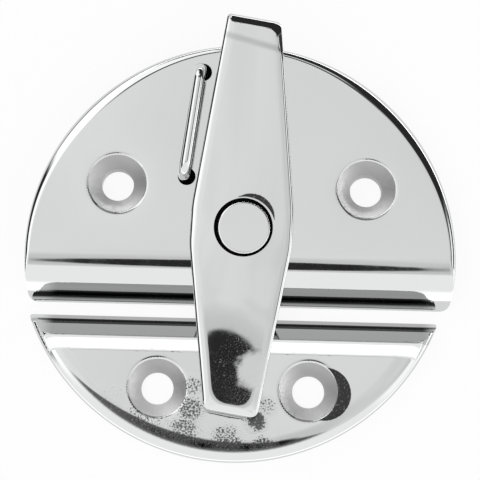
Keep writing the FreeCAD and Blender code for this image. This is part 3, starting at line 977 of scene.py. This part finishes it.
def rounded_line(corners, radii, closed=False):
    """Profile points (radius, height) through corners, each with an arc of its own radius."""
    corners = [np.array(corner, float) for corner in corners]
    points = []
    for index, (corner, radius) in enumerate(zip(corners, radii)):
        if radius:
            arc = corner_arc(corners[index - 1], corner, corners[(index + 1) % len(corners)], radius)
            points += [along_arc(arc, share) for share in np.linspace(0, 1, 7)]
        else:
            points.append(corner)
    return points + points[:1] if closed else points


def turned(name, points, centre, finish, steps=96, waves=0, swing=0.0):
    """Closed turned mesh about an upright axis at centre."""
    source = bpy.data.meshes.new(name + "_profile")
    source.from_pydata([(radius, 0.0, height) for radius, height in points],
                       [(i, i + 1) for i in range(len(points) - 1)], [])
    mesh = baked(name, source, turned_group, Steps=steps, Waves=waves, Swing=swing, Finish=finish)
    for vertex in mesh.vertices:
        vertex.co.x += centre[0]
        vertex.co.y += centre[1]
    weld(mesh)
    return smooth_by_angle(mesh, 35)


def smooth_by_angle(mesh, sharp):
    """Smooth shading with crisp edges. Large flat faces keep their own normal at a rounded edge."""
    smooth(mesh, sharp)
    thing = placed(mesh.name, mesh)
    thing.modifiers.new("weights", "WEIGHTED_NORMAL").keep_sharp = True
    return as_plain_mesh(thing)


turned_group = turned_tree()
print("turned piece tree has", len(turned_group.nodes), "nodes")

# %% [markdown]
# ## Finishes
# The object is one metal in several finishes. All of them are a metallic shader with a reflectance
# of about two thirds, which is what polished stainless steel has. What tells them apart is how
# rough they are and which way their marks run: a buffed face has faint scratches every way and a
# slow waviness, a countersink has rings left by the cutter, drawn wire has lines along it, and the
# back is as it left the mould.

# %% Finish helpers
STEEL = (0.655, 0.658, 0.660)
# Near-black colour of the painted dark reflections and painted shade.
PAINTED_DARK = (0.022, 0.022, 0.022)


def finish_tree(name, colour, roughness):
    """New metal material. Returns it with its tree, its shader and the place on the object."""
    material = bpy.data.materials.new(name)
    material.use_nodes = True
    tree = material.node_tree
    shader = tree.nodes["Principled BSDF"]
    for socket, value in (("Metallic", 1.0), ("Base Color", (*colour, 1.0)), ("Roughness", roughness)):
        shader.inputs[socket].default_value = value
    return material, tree, shader, tree.nodes.new("ShaderNodeTexCoord").outputs["Object"]


def surfaced(tree, shader, roughness, normal):
    tree.links.new(roughness, shader.inputs["Roughness"])
    tree.links.new(normal, shader.inputs["Normal"])


def tinted(tree, shader, share, first, second):
    """Base colour that goes from a first colour to a second."""
    mix = add_node(tree, "ShaderNodeMix", {0: share, 6: (*first, 1), 7: (*second, 1)}, data_type="RGBA")
    tree.links.new(mix.outputs[2], shader.inputs["Base Color"])


def noise(tree, place, size, detail=2.0, stretch=(1, 1, 1), turn=0.0):
    """Noise from 0 to 1 whose blotches are about size across, in metres."""
    scaled = add_node(tree, "ShaderNodeMapping", {
        "Vector": place, "Rotation": (0, 0, turn), "Scale": tuple(size / s for s in stretch)},
        vector_type="TEXTURE").outputs[0]
    return add_node(tree, "ShaderNodeTexNoise", {"Vector": scaled, "Scale": 1.0, "Detail": detail}).outputs[0]


def remapped(tree, value, low, high, to_low=0.0, to_high=1.0):
    return add_node(tree, "ShaderNodeMapRange", {
        0: value, 1: low, 2: high, 3: to_low, 4: to_high}, interpolation_type="SMOOTHSTEP").outputs[0]


def bump(tree, height, depth, below=None):
    """Bump of a real depth in metres, laid over another bump."""
    inputs = {"Height": height, "Distance": depth, "Strength": 1.0}
    if below is not None:
        inputs["Normal"] = below
    return add_node(tree, "ShaderNodeBump", inputs).outputs[0]


def away_from(tree, place, point):
    """Distance from an upright line through a plan point."""
    offset = add_node(tree, "ShaderNodeVectorMath", {0: place, 1: (-point[0], -point[1], 0)}, operation="ADD")
    flat = add_node(tree, "ShaderNodeVectorMath", {0: offset.outputs[0], 1: (1, 1, 0)}, operation="MULTIPLY")
    return add_node(tree, "ShaderNodeVectorMath", {0: flat.outputs[0]}, operation="LENGTH").outputs["Value"]


def off_line(tree, value, middle):
    return maths(tree, "ABSOLUTE", maths(tree, "SUBTRACT", value, middle))


print("steel reflects", STEEL)

# %% [markdown]
# Not every dark mark is the studio's. Some are painted dark reflections and painted shade in the
# material's colour, placed where the photograph is dark, so they stay where they are when the view
# turns. In other places the metal is satin, or shows the casting's own pitted skin, with painted
# shade in its pits. Each of these is a mask in plan, with a ragged edge.

# %% Painted dark, satin and pitted skin
def peel_mask(tree, place, haze, spots, limit):
    """Share of pitted skin near spots, each (x, y, radius, strength) in mm, inside the limit's disc."""
    near = 0.0
    for x, y, radius, strength in spots:
        out = away_from(tree, place, (x * MM, y * MM))
        near = greatest(tree, near, remapped(tree, out, 0.3 * radius * MM, radius * MM, strength, 0.0))
    centre, radius = limit
    inside = remapped(tree, away_from(tree, place, centre), radius - 0.5 * MM, radius, 1.0, 0.0)
    return times(tree, near, inside, remapped(tree, haze, 0.3, 0.55, 0.5, 1.0))


def painted_crescent_mask(tree, place, speckle, centre, radius, spared_centre, spared_radius, soft, strength):
    """Painted dark reflection and shade in a disc, except inside the spared disc, which leaves a crescent."""
    edge = added(tree, away_from(tree, place, centre), times(tree, speckle, 0.2 * MM))
    kept = remapped(tree, away_from(tree, place, spared_centre), spared_radius, spared_radius + 0.7 * soft)
    disc = remapped(tree, edge, radius, radius + soft, strength, 0.0)
    return times(tree, kept, disc, remapped(tree, speckle, 0.26, 0.42, 0.7, 1.0))


def painted_band_mask(tree, axes, low_y, high_y, strength):
    """Painted dark reflection in a strip across the object, which ends short of the rim."""
    half = (high_y - low_y) / 2
    off = off_line(tree, axes["Y"], (low_y + high_y) / 2)
    across = remapped(tree, off, half - 0.04 * MM, half + 0.08 * MM, strength, 0.0)
    ends = remapped(tree, maths(tree, "ABSOLUTE", axes["X"]), 28 * MM, 30.5 * MM, 1.0, 0.0)
    return times(tree, across, ends)


def crease_shade_mask(tree, axes, level_y, slant):
    """Faint painted shade in a crease."""
    along = added(tree, axes["Y"], times(tree, axes["X"], slant))
    return remapped(tree, off_line(tree, along, level_y), 0.1 * MM, 0.8 * MM, 0.24, 0.0)


def satin_level(tree, place, speckle, centre, radius):
    """Roughness of a satin disc and of the small spots round it."""
    out = away_from(tree, place, centre)
    wide = remapped(tree, noise(tree, place, 1.3 * MM, detail=4), 0.3, 0.7, -0.35 * MM, 0.35 * MM)
    edge = added(tree, out, wide, times(tree, speckle, 0.8 * MM))
    disc = remapped(tree, edge, radius, radius + 2.4 * MM, 0.36, 0.0)
    spots = remapped(tree, noise(tree, place, 0.2 * MM), 0.5, 0.72, 0.0, 0.15)
    return greatest(tree, disc, times(tree, spots, remapped(tree, out, 5 * MM, 9 * MM, 1.0, 0.0)))


print("film reflects", PAINTED_DARK)

# %% Polished steel
def polished(name, roughness, wave_depth, peel=(), peel_limit=None, painted_crescents=(), painted_bands=(), dull=(),
             shaded_creases=()):
    """Buffed casting: slow waviness, faint scratches, a haze that varies, satin and pits, and painted dark
    reflections and shade.
    """
    material, tree, shader, place = finish_tree(name, STEEL, roughness)
    haze = noise(tree, place, 5 * MM, detail=4)
    fine = noise(tree, place, 0.6 * MM, detail=3)
    speckle = noise(tree, place, 0.3 * MM)
    axes = add_node(tree, "ShaderNodeSeparateXYZ", {0: place}).outputs
    level = added(tree, remapped(tree, haze, 0.35, 0.75, 0.6 * roughness, 1.5 * roughness),
                  remapped(tree, fine, 0.55, 0.8, 0.0, 0.6 * roughness))
    normal = bump(tree, noise(tree, place, 7 * MM, detail=1), wave_depth)
    for turn in (0.4, 1.5, 2.6):
        scratch = noise(tree, place, 0.05 * MM, detail=1, stretch=(1, 0.012, 1), turn=turn)
        normal = bump(tree, remapped(tree, scratch, 0.62, 0.85), 0.00004 * MM, normal)
    painted_dark = [painted_crescent_mask(tree, place, speckle, *disc) for disc in painted_crescents]
    painted_dark += [painted_band_mask(tree, axes, *band) for band in painted_bands]
    painted_dark += [crease_shade_mask(tree, axes, *crease) for crease in shaded_creases]
    if peel:
        near = peel_mask(tree, place, haze, peel, peel_limit)
        grain = noise(tree, place, 0.3 * MM, detail=3)
        # Painted shade: the dark colour in the pits. The bump below is the real pitted skin.
        pit_shade = remapped(tree, added(tree, grain, times(tree, near, 0.42)), 0.80, 0.98)
        painted_dark.append(times(tree, pit_shade, 0.85))
        normal = bump(tree, times(tree, grain, near), 0.03 * MM, normal)
    # Painted dark reflections and shade: the steel's colour goes towards near black where the masks are.
    if painted_dark:
        tinted(tree, shader, greatest(tree, 0.0, *painted_dark), STEEL, PAINTED_DARK)
    level = greatest(tree, level, *(satin_level(tree, place, speckle, *disc) for disc in dull))
    surfaced(tree, shader, level, normal)
    return material


def shifted(point, x, y):
    return point + np.array([x, y]) * MM


plate_steel = polished("polished_plate_steel", 0.05, 0.010 * MM)
# Keeper: a crescent of painted shadow beside the right screw hole, a crescent of painted dark along its outer
# rim, two bands of painted dark reflection along the ridge, and painted shade in the pits.
keeper_steel = polished(
    "polished_keeper_steel", 0.05, 0.012 * MM,
    peel=((-6.9, -30.5, 2.6, 0.9), (-7.0, -34.0, 3.4, 1.0), (-8.0, -38.3, 5.0, 1.1),
          (-1.5, -39.0, 4.5, 1.1), (4.6, -33.0, 2.4, 0.8), (2.9, -35.6, 2.6, 1.4),
          (-14.0, -36.0, 5.5, 0.95), (-19.0, -32.5, 3.5, 0.6), (4.0, -39.6, 3.0, 1.1)),
    peel_limit=(keeper_centre, keeper_radius - 1.6 * MM),
    painted_crescents=[(shifted(keeper_screws[1], 2.4, -0.35), 4.1 * MM,
              shifted(keeper_screws[1], -0.35, 0), 4.75 * MM, 0.12 * MM, 0.97),
             (keeper_centre, keeper_radius - 1.7 * MM,
              shifted(keeper_centre, 1.95, 9.2), keeper_radius + 6.05 * MM, 0.4 * MM, 0.88)],
    # Two bands of painted dark reflection along the ridge.
    painted_bands=[(keeper_high.y - crest_inset, keeper_high.y, 0.36),
           (keeper_high.y - 1.45 * MM, keeper_high.y - 0.66 * MM, 0.97)])
# Arm: a crescent of painted dark reflection beside the pivot, and faint painted shade in the grip's crease.
arm_steel = polished(
    "polished_arm_steel", 0.045, 0.008 * MM,
    painted_crescents=[(shifted(pivot, 0.99, 1.64), 3.62 * MM, pivot, 4.66 * MM, 0.12 * MM, 0.97)],
    dull=[(np.array([2.9, -28.4]) * MM, 2.2 * MM)], shaded_creases=[(21.6 * MM, 0.264)])
rivet_steel = polished("polished_rivet_steel", 0.05, 0.004 * MM)
print(len(bpy.data.materials), "materials so far")

# %% Countersinks, castings and wire
# Direction in plan towards which the painted light brightens each countersink.
PAINTED_LIGHT_PULL = (-0.55, -0.83)


def countersunk(name, screws):
    """Satin cone with painted light, lighter towards one side of each hole, whose fine rings run round the
    hole that is nearest.
    """
    material, tree, shader, place = finish_tree(name, (0.56, 0.56, 0.56), 0.6)
    axes = add_node(tree, "ShaderNodeSeparateXYZ", {0: place}).outputs
    first, second = screws
    chosen = maths(tree, "GREATER_THAN", axes["X"], (first[0] + second[0]) / 2)
    painted_light = 0.0
    for axis, pull in enumerate(PAINTED_LIGHT_PULL):
        centre = added(tree, times(tree, chosen, second[axis] - first[axis]), first[axis])
        painted_light = added(tree, painted_light, times(tree, maths(tree, "SUBTRACT", axes[axis], centre), pull / screw_mouth))
    # Painted light: the cone's colour goes from dark to light towards one side of its hole.
    tinted(tree, shader, remapped(tree, painted_light, -0.7, 0.9), (0.43,) * 3, (0.95,) * 3)
    nearest = maths(tree, "MINIMUM", *(away_from(tree, place, point) for point in screws))
    rings = add_node(tree, "ShaderNodeTexNoise", {
        "Scale": 1.0, "Detail": 3.0, "W": times(tree, nearest, 1 / (0.06 * MM))},
        noise_dimensions="1D").outputs[0]
    grain = noise(tree, place, 0.12 * MM, detail=3)
    surfaced(tree, shader, remapped(tree, grain, 0.3, 0.7, 0.5, 0.66),
             bump(tree, grain, 0.002 * MM, bump(tree, rings, 0.002 * MM)))
    return material


def as_cast(name):
    """Unpolished back of a casting: grey, grainy and a little blotchy."""
    material, tree, shader, place = finish_tree(name, (0.42, 0.42, 0.42), 0.5)
    blotch = noise(tree, place, 3 * MM, detail=4)
    tinted(tree, shader, remapped(tree, blotch, 0.3, 0.7), (0.36, 0.36, 0.355), (0.5, 0.5, 0.5))
    grain = noise(tree, place, 0.25 * MM, detail=4)
    surfaced(tree, shader, remapped(tree, grain, 0.3, 0.7, 0.42, 0.6), bump(tree, grain, 0.03 * MM))
    return material


def drawn(name, colour, roughness, along=(1, 1, 1), metallic=1.0, turn=0.0):
    """Rolled or drawn metal whose faint lines run one way. With metallic at 0 and a near-black colour it is
    painted shade.
    """
    material, tree, shader, place = finish_tree(name, colour, roughness)
    shader.inputs["Metallic"].default_value = metallic
    shader.inputs["Specular IOR Level"].default_value = 0.5 * metallic
    lines = noise(tree, place, 0.08 * MM, stretch=along, turn=turn)
    surfaced(tree, shader, remapped(tree, lines, 0.3, 0.7, 0.7 * roughness, 1.4 * roughness),
             bump(tree, lines, 0.0006 * MM))
    return material


base_countersink = countersunk("base_countersink_steel", base_screws)
keeper_countersink = countersunk("keeper_countersink_steel", keeper_screws)
# Painted shade: near black and not metallic, for the bores, the pockets and the arm's counterbore.
shaded_bore_paint = drawn("dark_bore_steel", (0.015, 0.015, 0.015), 0.6, metallic=0.0)
# Darker grey steel on the wall along the split.
split_wall_steel = drawn("ground_edge_steel", (0.3, 0.3, 0.3), 0.35, (1, 1, 0.05))
cast_back = as_cast("cast_back_steel")
wire_steel = drawn("drawn_wire_steel", (0.64, 0.642, 0.645), 0.07, (1, 0.02, 1), turn=-0.187)
washer_steel = drawn("pressed_washer_steel", (0.55, 0.55, 0.555), 0.25)
spring_steel = drawn("rolled_spring_steel", (0.5, 0.5, 0.505), 0.2)
print(len(bpy.data.materials), "materials")

# %% [markdown]
# ## Dressing the pieces
# Each piece becomes an object at the origin that rides on the body of the part it stands for, and
# the frame's own mesh of that part is hidden where one is named.

# %% Pieces
def piece(name, mesh, finishes, body, slot, *nodes):
    mesh.name = name
    for finish in finishes[len(mesh.materials):]:
        mesh.materials.append(finish)
    thing = placed(name, mesh)
    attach(thing, body)
    if nodes:
        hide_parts(*nodes)
    print(name, len(mesh.polygons), "faces on", body)


piece("base_plate_casting", base_mesh,
      (plate_steel, cast_back, base_countersink, shaded_bore_paint, split_wall_steel),
      "root", "polished_plate", "base_plate")
piece("keeper_plate_casting", keeper_mesh,
      (keeper_steel, cast_back, keeper_countersink, shaded_bore_paint, split_wall_steel),
      "root", "polished_keeper", "keeper_plate")
piece("turn_arm_casting", arm_mesh, (arm_steel, arm_steel, shaded_bore_paint), "arm", "polished_arm", "turn_arm")

# %% Rivet and washers
rivet_head = (rivet_high.x - rivet_low.x) / 2
rivet_head_low = arm_top_z - 1.75 * MM
shank = 2.5 * MM
clench_radius, clench_z = 3.6 * MM, washer_low.z
rivet_line = rounded_line(
    [(0, arm_top_z), (rivet_head - 0.5 * MM, arm_top_z), (rivet_head, arm_top_z),
     (rivet_head, rivet_head_low), (shank, rivet_head_low), (shank, clench_z),
     (clench_radius, clench_z), (clench_radius, rivet_low.z),
     (clench_radius - 0.8 * MM, rivet_low.z), (0, rivet_low.z)],
    [0, 0, 0.3 * MM, 0, 0, 0, 0.15 * MM, 0.5 * MM, 0, 0])


def band_line(inner, outer, low, high, radii):
    """Closed profile of a flat ring, with a radius in mm for each corner, from the inner top one."""
    corners = [(inner, high), (outer, high), (outer, low), (inner, low)]
    return rounded_line(corners, [radius * MM for radius in radii], closed=True)


def turned_piece(name, line, centre, finish, slot, *nodes, **shape):
    piece(name, turned(name, line, centre, finish, **shape), (finish,), "root", slot, *nodes)


turned_piece("pivot_rivet_turned", rivet_line, pivot, rivet_steel, "rivet_steel", "pivot_rivet")
washer_line = band_line(shank_bore, (washer_high.x - washer_low.x) / 2, washer_low.z, washer_high.z,
                        (0.05, 0.2, 0.1, 0.05))
turned_piece("back_washer_pressed", washer_line, pivot, washer_steel, "washer_steel", "back_washer")
strip_thick = 0.35 * MM
wave_mid_z = (wave_low.z + wave_high.z - strip_thick) / 2
wave_line = band_line(2.8 * MM, 5.0 * MM, wave_mid_z, wave_mid_z + strip_thick, (0.08,) * 4)
turned_piece("wave_washer_spring", wave_line, pivot, spring_steel, "spring_steel", "wave_washer",
             waves=3, swing=0.3 * MM)

# %% [markdown]
# ## The wire staple
# A length of drawn wire is bent down at both ends, pushed through the plate and peened behind it.
# A path of four points tells all of it, so nodes round the corners, run a circle along the path
# and cap its ends. Its feet go down through pockets that are wider than the wire.

# %% Bent wire
def wire_tree():
    tree, given, result = node_group("bent wire", [
        ("Bend", "Float"), ("Wire", "Float"), ("Finish", "Material")])
    line = add_node(tree, "GeometryNodeMeshToCurve", {"Mesh": given["Geometry"]})
    bent_line = add_node(tree, "GeometryNodeFilletCurve", {
        "Curve": line.outputs[0], "Radius": given["Bend"], "Limit Radius": True, "Count": 14}, mode="POLY")
    section = add_node(tree, "GeometryNodeCurvePrimitiveCircle", {"Resolution": 40, "Radius": given["Wire"]})
    tube = add_node(tree, "GeometryNodeCurveToMesh", {
        "Curve": bent_line.outputs[0], "Profile Curve": section.outputs["Curve"], "Fill Caps": True})
    return finish_group(tree, tube.outputs[0], given["Finish"], result)


wire_bend = 1.9 * MM
bar_z = base_height + 4.2 * MM
upper_foot, lower_foot = staple_feet
wire_path = bpy.data.meshes.new("staple_path")
wire_path.from_pydata([(*lower_foot, staple_low.z), (*lower_foot, bar_z), (*upper_foot, bar_z),
                       (*upper_foot, staple_low.z)], [(0, 1), (1, 2), (2, 3)], [])
wire_mesh = baked("staple_skin", wire_path, wire_tree(), Bend=wire_bend, Wire=wire_radius, Finish=wire_steel)
weld(wire_mesh)
piece("stop_staple_wire", smooth_by_angle(wire_mesh, 45), (wire_steel,), "root", "wire_steel", "stop_staple")
clench_line = band_line(wire_radius, 1.45 * MM, staple_low.z, boss_z, (0, 0.1, 0.3, 0))
for label, foot in (("upper", upper_foot), ("lower", lower_foot)):
    turned_piece(f"staple_{label}_clench", clench_line, foot, wire_steel, "wire_steel", steps=48)

# %% [markdown]
# ## Floor, world and camera
# A mirror has no look of its own, so the room is the finish. The object lies on a white floor in a
# white tent. Over the object the tent is plain white, and it is brighter towards the front. What
# gives the metal its black lines is what isn't white: the round opening that the picture is taken
# through, and dark cards low down beyond the object. The camera sees the floor and the tent as
# plain white, and so does any glossy ray that meets the floor.

# %% Floor
half = 3.0
sheet = bpy.data.meshes.new("studio_floor")
corners = [(-half, -half, 0), (half, -half, 0), (half, half, 0), (-half, half, 0)]
sheet.from_pydata(corners, [], [(0, 1, 2, 3)])
floor = placed("studio_floor", sheet)
floor.location.z = -0.02 * MM
floor_paint = bpy.data.materials.new("white_floor")
floor_paint.use_nodes = True
tree = floor_paint.node_tree
tree.nodes.clear()
matt = add_node(tree, "ShaderNodeBsdfDiffuse", {"Color": (0.93, 0.93, 0.93, 1)})
glow = add_node(tree, "ShaderNodeEmission", {"Color": (1, 1, 1, 1), "Strength": 1.0})
rays = tree.nodes.new("ShaderNodeLightPath").outputs
seen = greatest(tree, *(rays[f"Is {kind} Ray"] for kind in ("Camera", "Glossy", "Transmission")))
mixed = add_node(tree, "ShaderNodeMixShader", {
    0: times(tree, seen, 0.9), 1: matt.outputs[0], 2: glow.outputs[0]})
tree.links.new(mixed.outputs[0], add_node(tree, "ShaderNodeOutputMaterial").inputs["Surface"])
sheet.materials.append(floor_paint)
print("floor", 2 * half, "m across")

# %% World
world = bpy.data.worlds.new("white_tent")
bpy.context.scene.world = world
world.use_nodes = True
sky = world.node_tree
sky.nodes.clear()
direction = sky.nodes.new("ShaderNodeTexCoord").outputs["Generated"]
axes = add_node(sky, "ShaderNodeSeparateXYZ", {0: direction}).outputs
frontwards = times(sky, axes["Y"], -1.0)
bearing = times(sky, maths(sky, "ARCTAN2", axes["X"], frontwards), 180 / math.pi)
elevation = times(sky, maths(sky, "ARCSINE", axes["Z"]), 180 / math.pi)
camera_tilt = 83


def towards(azimuth, height):
    """Unit direction. Azimuth 0 is towards the front, -Y, and 90 towards +X."""
    a, e = math.radians(azimuth), math.radians(height)
    return math.sin(a) * math.cos(e), -math.cos(a) * math.cos(e), math.sin(e)


def round_patch(azimuth, height, inner, outer):
    """1 within an angle of a direction, falling to 0 at the outer angle."""
    cosine = add_node(sky, "ShaderNodeVectorMath", {0: direction, 1: towards(azimuth, height)},
                      operation="DOT_PRODUCT").outputs["Value"]
    return remapped(sky, cosine, math.cos(math.radians(outer)), math.cos(math.radians(inner)))


def window(value, middle, half, soft):
    """1 within half of the middle, falling to 0 over a soft edge."""
    return remapped(sky, off_line(sky, value, middle), half - soft / 2, half + soft / 2, 1.0, 0.0)


def card(azimuth, half_width, low, high, side_soft, soft):
    """1 in a window of bearings round an azimuth and of elevations from low to high, in degrees."""
    turned_to = maths(sky, "WRAP", maths(sky, "SUBTRACT", bearing, azimuth), 180.0, -180.0)
    across = window(turned_to, 0.0, half_width, side_soft)
    return times(sky, across, window(elevation, (low + high) / 2, (high - low) / 2, soft))


# Azimuth, half width, low, high, softness across and upwards, all in degrees, and brightness.
CARDS = (
    (0, 60, -2, 9, 30, 5, 1.7),
    (255, 45, 38, 68, 24, 8, 1.6),
    (218, 22, 9, 62, 14, 8, 1.6),
    (80, 30, 18, 52, 10, 6, 1.4),
    (197, 13, 26, 54, 6, 4, 1.4),
    (140, 70, 5, 9.5, 20, 2, 4.5),
    (180, 22, -2, 4.5, 6, 2, 0.35),
    (100, 16, 50, 62, 6, 4, 0.05),
    (104, 10, 8, 31, 4, 4, 0.05),
    (134, 20, 10, 66, 8, 8, 0.03),
    (166, 20, 18, 50, 6, 6, 0.03),
    (180, 30, 60, 71.5, 14, 5, 0.03),
    (178, 24, 10, 24, 10, 3, 0.03),
    (266, 30, 4, 38, 8, 4, 0.03),
    (225, 28, -2, 7, 16, 3, 0.03),
)
cloud = add_node(sky, "ShaderNodeTexNoise", {"Vector": direction, "Scale": 14.0, "Detail": 1.0}).outputs[0]
brightness = added(sky, times(sky, axes["X"], -0.45), remapped(sky, cloud, 0.3, 0.7, -0.04, 0.04), 1.0)
layers = [(remapped(sky, frontwards, 0.16, 0.34), 1.2)]
layers += [(card(*sizes), level) for *sizes, level in CARDS]
layers += [(round_patch(0, camera_tilt, 4.7, 11.0), 0.80), (round_patch(0, camera_tilt, 3.9, 4.7), 0.03)]
for mask, level in layers + [(sky.nodes.new("ShaderNodeLightPath").outputs["Is Camera Ray"], 1.0)]:
    brightness = add_node(sky, "ShaderNodeMix", {0: mask, 2: brightness, 3: level},
                          data_type="FLOAT").outputs[0]
tent = add_node(sky, "ShaderNodeBackground", {"Color": (1, 1, 1, 1), "Strength": brightness})
sky.links.new(tent.outputs[0], add_node(sky, "ShaderNodeOutputWorld").inputs["Surface"])
print("tent with", len(layers), "layers")

# %% Camera
camera_data = bpy.data.cameras.new("camera")
camera_data.sensor_width = 36.0
camera_data.lens = 197.3
camera_data.clip_start, camera_data.clip_end = 0.01, 20.0
camera = placed("camera", camera_data)
aim = Vector((-0.09, -8.27, 5)) * MM
distance, roll = 400 * MM, 1.455
camera.location = aim + distance * Vector(towards(0, camera_tilt))
camera.rotation_euler = (aim - camera.location).to_track_quat("-Z", "Y").to_euler()
camera.rotation_euler.rotate_axis("Z", math.radians(roll))
bpy.context.scene.camera = camera
bpy.context.scene.view_settings.view_transform = "Standard"
print("camera", distance, "m away, lens", camera_data.lens, "mm")
